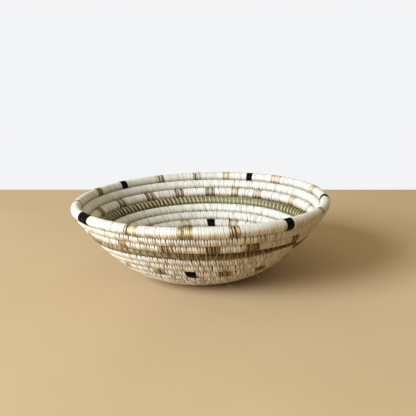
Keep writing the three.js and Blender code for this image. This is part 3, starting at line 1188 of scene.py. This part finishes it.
THIRD_TAN = BandRow("third_round_tan_band", 12, Sisal.TAN, BAND_STRAND, (
    Band(5.5, 1.0, "tctctct"),
    Band(27.0, 1.0, "ttctctt"),
    Band(54.8, 1.05, "tttctct"),
    Band(70.3, 0.86, "ttcctt"),
    Band(85.4, 0.9, "tgtctgt"),
    Band(105.0, 1.05, "tgtcgtgt"),
    Band(123.5, 1.1, "ttgtcgtg"),
    Band(145.6, 0.9, "tgtctgt"),
    Band(167.0, 0.95, "ttgttt"),
    Band(184.6, 1.0, "ttcttgt"),
    Band(210.0, 1.0, "ttgttct"),
    Band(235.0, 0.8, "tttttt"),
    Band(255.0, 1.2, "ctgtcgtct"),
    Band(274.0, 1.15, "tgttgtgtt"),
    Band(291.4, 1.2, "tgtttgtgt", 1.5),
    Band(315.5, 1.0, "tgttgtt"),
))
SEVENTH_BLACK = BandRow("seventh_round_black_band", 8, Sisal.BLACK, LOW_BAND_STRAND, (
    Band(84.4, 0.86, "bbbbbb"),
    Band(173.0, 0.9, "bbbbbb"),
    Band(262.8, 0.84, "bbbbbb"),
    Band(353.0, 0.9, "bbbbbb"),
))
SEVENTH_TAN = BandRow("seventh_round_tan_band", 8, Sisal.TAN, LOW_BAND_STRAND, (
    Band(18.0, 1.0, "tttcttt"),
    Band(41.0, 0.9, "ttgttt"),
    Band(65.8, 0.9, "ttcctt"),
    Band(105.0, 1.05, "tttctct"),
    Band(135.0, 0.9, "tttgtt"),
    Band(149.0, 1.0, "ttgtttt"),
    Band(197.0, 0.9, "ttttct"),
    Band(220.0, 0.9, "ttgttt"),
    Band(244.3, 0.95, "ttttgtt"),
    Band(282.6, 1.25, "ttgttgttc"),
    Band(306.3, 1.12, "tttgtttt"),
    Band(330.0, 0.9, "ttcttt"),
))
ALL_BANDS = (RIM_BLACK, RIM_TAN, THIRD_TAN, SEVENTH_BLACK, SEVENTH_TAN)


@dataclass(frozen=True)
class ColouredBands(Part):
    """The short bands of black and tan sisal, each a few loops of its own."""

    snugness: float = 1.03
    first_seed: int = 40
    grass_overlap: float = 0.3

    def build(self) -> None:
        """Makes a piece for each band, and one of bare grass where two strands are left out."""
        for row in ALL_BANDS:
            for number, band in enumerate(row.bands, start=1):
                self.band(row, band, number)

    def band(self, row: BandRow, band: Band, number: int) -> None:
        """Sews one band.

        Args:
            row: The row that it belongs to.
            band: The band.
            number: Its number in the row.
        """
        coil, node, letters = self.coil, f"{row.name}_{number}", len(band.pattern)
        start, end = coil.band_turns(row.level, band.degrees, band.width)
        places = start + (np.arange(letters) + 0.5) * (end - start) / letters
        sewn = [i for i, letter in enumerate(band.pattern) if letter != GAP_LETTER]
        kinds = np.array([int(band.pattern[i] != row.sisal.value) for i in sewn])
        room = coil.mark_width * band.width / letters * self.snugness
        leaning = replace(row.strand, lean=row.strand.lean + band.lean)
        loops = StrandRow(coil, leaning, places[sewn], room, self.first_seed + number, kinds)
        self.bench.piece(f"{node}_strands", loops.build(), [node], BAND_FINISHES[row.sisal], CREAM_SISAL)
        if GAP_LETTER * 2 in band.pattern:
            first = band.pattern.index(GAP_LETTER)
            ends = (first - self.grass_overlap, first + 2.0 + self.grass_overlap)
            low, high = (start + i * (end - start) / letters for i in ends)
            core = GrassCore(coil, self.bench, sides=40, steps_per_turn=1200, inset=0.25, finish=BARE_GRASS)
            core.build(f"{node}_grass", low, high, node)


@dataclass(frozen=True)
class CreamWrap(Part):
    """The cream sisal that is sewn round the coil, loop after loop."""

    spacing: float = 1.18

    def build(
        self, name: str, start: float, end: float, node: str, seed: int, strand: Strand, coarse: float = 1.0
    ) -> None:
        """Sews one stretch, and leaves out the places of the coloured bands.

        Args:
            name: The piece's name.
            start: The turn where it starts.
            end: The turn where it ends.
            node: The CAD node that it stands for.
            seed: The seed of its chance variation.
            strand: The shape of its loops.
            coarse: How many times the usual spacing there is.
        """
        spacing = self.spacing * coarse
        turns = self.coil.turns_between(start, end, spacing)
        for row in ALL_BANDS:
            for band in row.bands:
                low, high = self.coil.band_turns(row.level, band.degrees, band.width)
                turns = turns[(turns < low) | (turns > high)]
        loops = StrandRow(self.coil, strand, turns, spacing, seed)
        self.bench.piece(name, loops.build(), [node], CREAM_SISAL)


@dataclass(frozen=True)
class CentreKnot(Part):
    """The start of the coil: a tight first loop with a closed eye, and the thin start round it."""

    ring: EyeRing = EyeRing()
    ring_loops: int = 13
    spacing: float = 0.9
    ring_seed: int = 3
    start_share: float = 0.94
    start_strand: Strand = Strand(lean=1.0)
    start_seed: int = 4

    def build(self) -> None:
        """Makes the loop, the wrapped start round it and the grass inside both."""
        coil, nodes = self.coil, ["centre_knot"]
        first, end = coil.first_turn - self.start_share, coil.first_turn
        turns = np.arange(self.ring_loops) / self.ring_loops
        room = TURN * self.ring.ring_radius / self.ring_loops
        eye = StrandRow(self.ring, EYE_STRAND, turns, room, self.ring_seed)
        self.bench.piece("centre_knot_eye", eye.build(), nodes, CREAM_SISAL)
        thin = coil.turns_between(first, end, self.spacing)
        start = StrandRow(coil, self.start_strand, thin, self.spacing, self.start_seed)
        self.bench.piece("centre_knot_start", start.build(), nodes, CREAM_SISAL)
        core = GrassCore(coil, self.bench, steps_per_turn=48)
        core.build("centre_knot_grass", first, end, *nodes)


@dataclass(frozen=True)
class OpenStretch:
    """A stretch of the open round: where it ends, in degrees, and how it is stitched, in millimetres."""

    end: float
    spacing: float
    width: float
    lean: float
    lean_play: float
    gather: float = 0.0


@dataclass(frozen=True)
class OpenRound(Part):
    """The round that is left bare: green grass stems under widely spaced slanted stitches."""

    start: float
    end: float
    stems: int = 27
    stem_radius: float = 0.62
    stem_sizes: Range = (0.8, 1.15)
    stem_steps: int = 150
    stem_sides: int = 6
    stem_inset: float = 0.85
    stem_wander: float = 7.0
    wave_size: float = 1.7
    wander_rates: Triple = (3.0, 7.0, 16.0)
    stem_swell: float = 0.16
    swell_rate: float = 9.0
    stem_sink: float = 0.1
    core_inset: float = 0.9
    outward_base: float = 0.5
    outward_gain: float = 0.9
    inside_sage: float = 0.5
    # Painted shade on the inside grass at the right.
    right_crease: float = 0.4
    vein_degrees: float = 90.0
    mean_radius: float = 90.0
    grass_seed: int = 11
    stitch_seed: int = 20
    stretches: tuple[OpenStretch, ...] = (
        OpenStretch(350.0, 2.8, 1.2, 1.0, 0.6, 0.35),
        OpenStretch(405.0, 4.9, 1.7, 8.0, 0.3),
        OpenStretch(488.0, 3.85, 1.45, 8.0, 0.3),
        OpenStretch(555.0, 4.5, 1.95, 8.0, 0.3),
        OpenStretch(619.0, 5.1, 2.6, 12.0, 0.4),
        OpenStretch(680.5, 2.95, 1.1, 0.8, 0.7, 0.35),
    )

    def grass(self) -> None:
        """Lays the bundle's outer stems side by side, round a plain core."""
        coil, count = self.coil, self.stems
        chance = np.random.default_rng(self.grass_seed)
        row = MeshRow(count, TUBE_SPAN, rolled_tube(self.stem_steps, self.stem_sides))
        share, y, z = row.points()
        turn = self.start + share * (self.end - self.start)
        phase = chance.uniform(0.0, TURN, (len(self.wander_rates), count, 1))
        waves = sum(np.sin(turn * TURN * rate + start) for rate, start in zip(self.wander_rates, phase))
        wander = self.stem_wander * waves / self.wave_size
        degrees = np.arange(count)[:, None] * 360.0 / count + wander
        rise = self.stem_swell * np.sin(turn * TURN * self.swell_rate + phase[1] * 2.0) - self.stem_sink
        size = self.stem_radius * chance.uniform(*self.stem_sizes, (count, 1))
        half_along = coil.pitch / 2.0 - self.stem_inset + rise
        along, out = coil.section(degrees, half_along, coil.half_depth - self.stem_inset + rise)
        row.move(coil.wind(turn, along + size * y, out + size * z))
        tint = chance.uniform(0.0, 1.0, (count, 1))
        number = chance.uniform(0.0, NUMBER_RANGE, (count, 1))
        facing = self.outward_base + self.outward_gain * np.cos(np.radians(degrees))
        facing = np.clip(facing, 0.0, 1.0)
        around = np.degrees(coil.azimuth(turn))
        sage = self.inside_sage * (1.0 - facing) * BACK_GRASS.at(around)
        inside = LEFT_SHADED_GRASS.at(around) + self.right_crease * RIGHT_SHADED_GRASS.at(around)
        # Paler sage on the lit front left is painted light; darker grass on the front right and on the
        # inside at the left and right is painted shade.
        row.mark(
            (np.degrees(np.arctan2(y, z)) / self.vein_degrees, share * TURN * self.mean_radius, number),
            tint=tint,
            outer=facing * FRONT_LEFT_LIT_GRASS.at(around) + sage,
            crease=facing * FRONT_RIGHT_SHADED_GRASS.at(around) + (1.0 - facing) * inside,
        )
        self.bench.piece("open_round_grass_stems", row.mesh, ["open_round_bundle"], BARE_GRASS)
        core = GrassCore(coil, self.bench, inset=self.core_inset)
        core.build("open_round_grass_core", self.start, self.end, "open_round_bundle")

    def stitches(self) -> None:
        """Sews the open stitches, stretch by stretch."""
        start = self.start
        for number, stretch in enumerate(self.stretches, start=1):
            end = start + (stretch.end - math.degrees(self.coil.azimuth(start)) % 360.0) / 360.0 % 1.0
            turns = self.coil.turns_between(start, end, stretch.spacing)
            shape = {key: getattr(stretch, key) for key in ("lean", "lean_play", "gather")}
            strand = replace(OPEN_STRAND, **shape)
            loops = StrandRow(self.coil, strand, turns, stretch.width, self.stitch_seed + number)
            name = f"open_round_stitches_{number}"
            self.bench.piece(name, loops.build(), ["open_round_stitching"], STITCH_SISAL)
            start = end


@dataclass(frozen=True)
class LooseFibre:
    """A fine fibre that has come loose: where it leaves the sewing, its two bends and its free end."""

    turn: float
    degrees: float
    bends: tuple[Triple, Triple, Triple]
    radius: float = 0.27
    taper: float = 0.6


@dataclass(frozen=True)
class LooseFibres(Part):
    """The few fibres that stand off the wrap."""

    steps: int = 14
    sides: int = 5
    length: float = 4.0
    tint: float = 0.2
    fibres: tuple[LooseFibre, ...] = (
        LooseFibre(4.942, -45.0, ((0.2, 0.2, 4.4), (2.4, 1.0, 5.6), (3.6, 1.2, 3.6))),
        LooseFibre(6.01, -30.0, ((0.4, 0.2, 3.4), (1.6, 0.6, 4.6), (2.0, 0.8, 3.2))),
        LooseFibre(13.905, -35.0, ((1.2, 0.9, 0.5), (2.6, 0.4, 0.7), (3.4, -1.2, 0.4))),
        LooseFibre(13.2, -10.0, ((1.0, -0.6, 0.5), (2.2, -1.4, 0.9), (3.0, -1.2, 1.6))),
    )

    def build(self) -> None:
        """Grows each fibre out of the wrap."""
        coil = self.coil
        row = MeshRow(len(self.fibres), TUBE_SPAN, rolled_tube(self.steps, self.sides))
        shares, ys, zs = row.points()
        placed = []
        for fibre, share, y, z in zip(self.fibres, shares, ys, zs):
            s = share[:, None]
            first, second, end = (np.array(bend) for bend in fibre.bends)
            line = first * 3 * s * (1 - s) ** 2 + second * 3 * s**2 * (1 - s) + end * s**3
            size = fibre.radius * (1.0 - fibre.taper * share)
            degrees = np.full(len(share), fibre.degrees)
            along, out = coil.section(degrees, coil.pitch / 2.0, coil.half_depth)
            turn = fibre.turn + line[:, 0] / (TURN * float(coil.radius(np.array(fibre.turn))))
            placed.append(coil.wind(turn, along + line[:, 1] + size * y, out + line[:, 2] + size * z))
        row.move(np.array(placed))
        row.mark((0.0, shares * self.length, 0.0), tint=self.tint, outer=0.0)
        self.bench.piece("loose_fibres", row.mesh, [], CREAM_SISAL)


@dataclass(frozen=True)
class Basket:
    """The whole basket: where the coil changes its wrap, and all that is sewn on it."""

    coil: Coil = Coil()
    joint_play: float = 0.5 / 24.0
    belly_turn: float = 5.0
    wall_turn: float = 8.0
    open_round: int = 4
    base_coarse: float = 1.3
    belly_coarse: float = 1.45
    wall_coarse: float = 1.48
    first_seed: int = 5

    def build(self, bench: Workbench) -> None:
        """Builds the basket from its centre to its rim.

        Args:
            bench: The workbench with the materials.
        """
        coil = self.coil
        first, belly, wall, rim = coil.first_turn, self.belly_turn, self.wall_turn, coil.rim_level
        open_start = rim - self.open_round + self.joint_play
        open_end = open_start + 1.0
        rim_start = rim - 1 + self.joint_play
        seed, coarse = self.first_seed, self.wall_coarse
        core, wrap = GrassCore(coil, bench), CreamWrap(coil, bench)
        CentreKnot(coil, bench).build()
        core.build("lower_coil_grass", first, open_start, "lower_coil")
        wrap.build("base_wrap", first, belly, "lower_coil", seed, LOW_STRAND, self.base_coarse)
        wrap.build("belly_wrap", belly, wall, "lower_coil", seed + 1, LOW_STRAND, self.belly_coarse)
        wrap.build("lower_wall_wrap", wall, open_start, "lower_coil", seed + 2, LOW_STRAND, coarse)
        open_round = OpenRound(coil, bench, open_start, open_end)
        open_round.grass()
        open_round.stitches()
        core.build("upper_coil_grass", open_end, rim_start, "upper_coil")
        wrap.build("upper_wall_wrap", open_end, rim_start, "upper_coil", seed + 3, Strand(), coarse)
        core.build("rim_coil_grass", rim_start, coil.tip_turn, "rim_coil")
        wrap.build("rim_wrap", rim_start, coil.tip_turn, "rim_coil", seed + 4, RIM_STRAND)
        ColouredBands(coil, bench).build()
        LooseFibres(coil, bench).build()


# The studio

@dataclass(frozen=True)
class StudioCamera:
    """The camera at the photograph's viewing angle."""

    elevation: float = math.radians(13.75)
    roll: float = math.radians(-1.81)
    distance: float = 506.84
    target: Triple = (4.91, 0.0, 51.4)
    lens: float = 55.32
    nearest: float = 10.0

    def axes(self) -> tuple[Vector, Vector, Vector]:
        """Works out the camera's directions.

        Returns:
            Its right, up and backward directions.
        """
        right = Vector((1.0, 0.0, 0.0))
        up = Vector((0.0, math.sin(self.elevation), math.cos(self.elevation)))
        cosine, sine = math.cos(self.roll), math.sin(self.roll)
        return right * cosine + up * sine, up * cosine - right * sine, right.cross(up)

    def place(self) -> Vector:
        """Where the camera stands, in metres."""
        return (Vector(self.target) + self.axes()[2] * self.distance) * MM

    def floor_under(self, across: float, down: float) -> Vector:
        """The floor's point that is seen at a place in the picture.

        Args:
            across: The place to the right of the picture's middle, as a share of its width.
            down: The place below its middle, as a share of its width.

        Returns:
            The point in metres.
        """
        right, up, back = self.axes()
        look = (right * across - up * down) * FILM_WIDTH / self.lens - back
        start = self.place()
        return start - look * (start.z / look.z)

    def build(self) -> None:
        """Adds the camera to the scene."""
        data = bpy.data.cameras.new("photo_camera")
        data.lens = self.lens
        data.sensor_width = FILM_WIDTH
        data.clip_start = self.nearest * MM
        camera = in_scene("photo_camera", data)
        turned = Matrix(self.axes()).transposed().to_4x4()
        camera.matrix_world = Matrix.Translation(self.place()) @ turned
        bpy.context.scene.camera = camera


@dataclass(frozen=True)
class Lamp:
    """A soft square lamp that looks at the basket. Its place and size are in metres."""

    name: str = "window_light"
    place: Triple = (-1.48, -0.98, 0.9)
    size: float = 1.04
    power: float = 58.0
    colour: Triple = (0.86, 0.938, 1.0)
    looks_at: Triple = (0.0, 0.0, 0.03)

    def build(self) -> None:
        """Adds the lamp to the scene."""
        data = bpy.data.lights.new(self.name, "AREA")
        data.size = self.size
        data.energy = self.power
        data.color = self.colour
        spot = Vector(self.place)
        turned = (spot - Vector(self.looks_at)).to_track_quat("Z", "Y").to_matrix().to_4x4()
        in_scene(self.name, data).matrix_world = Matrix.Translation(spot) @ turned


@dataclass(frozen=True)
class Studio:
    """The pale table, the white surroundings and the lamp."""

    camera: StudioCamera = StudioCamera()
    lamp: Lamp = Lamp()
    table: TableFinish = TableFinish()
    table_half_width: float = 1.6
    table_edge_pixel: float = 189.6
    picture_pixels: float = 416.0
    surround: Triple = srgb(243, 244, 246)
    fill: Triple = (1.0, 0.865, 0.58)
    fill_strength: float = 0.44

    def build(self) -> None:
        """Sets up the camera, the lights and the table."""
        bpy.context.scene.view_settings.view_transform = "Standard"
        self.camera.build()
        self.lamp.build()
        self.surroundings()
        self.table_top()

    def surroundings(self) -> None:
        """Makes the world: an even soft fill, and plain white behind the table."""
        world = bpy.data.worlds.new("studio")
        bpy.context.scene.world = world
        world.use_nodes = True
        nodes = Nodes(world.node_tree)
        fill = nodes.node("Background", {"Color": self.fill, "Strength": self.fill_strength}, "Background")
        white = nodes.node("Background", {"Color": self.surround}, "Background")
        seen = nodes.node("LightPath", {}, "Is Camera Ray")
        both = nodes.node("MixShader", {0: seen, 1: fill, 2: white}, "Shader")
        nodes.feed(nodes.tree.nodes["World Output"].inputs["Surface"], both)

    def table_top(self) -> None:
        """Makes the table top, which ends behind the basket."""
        made = bmesh.new()
        bmesh.ops.create_grid(made, x_segments=4, y_segments=4, size=self.table_half_width)
        down = self.table_edge_pixel / self.picture_pixels - 0.5
        left, right = (self.camera.floor_under(across, down) for across in (-0.5, 0.5))
        cut = made.verts[:] + made.edges[:] + made.faces[:]
        back = Vector((0.0, 0.0, 1.0)).cross(right - left)
        bmesh.ops.bisect_plane(made, geom=cut, plane_co=left, plane_no=back, clear_outer=True)
        mesh = bpy.data.meshes.new("table")
        made.to_mesh(mesh)
        made.free()
        mesh.materials.append(self.table.build())
        table = in_scene("table", mesh)


def main() -> None:
    """Builds the studio and the basket."""
    logging.basicConfig(level=logging.INFO, format="%(name)s %(message)s")
    Studio().build()
    Basket().build(Workbench())


if __name__ == "__main__":
    main()
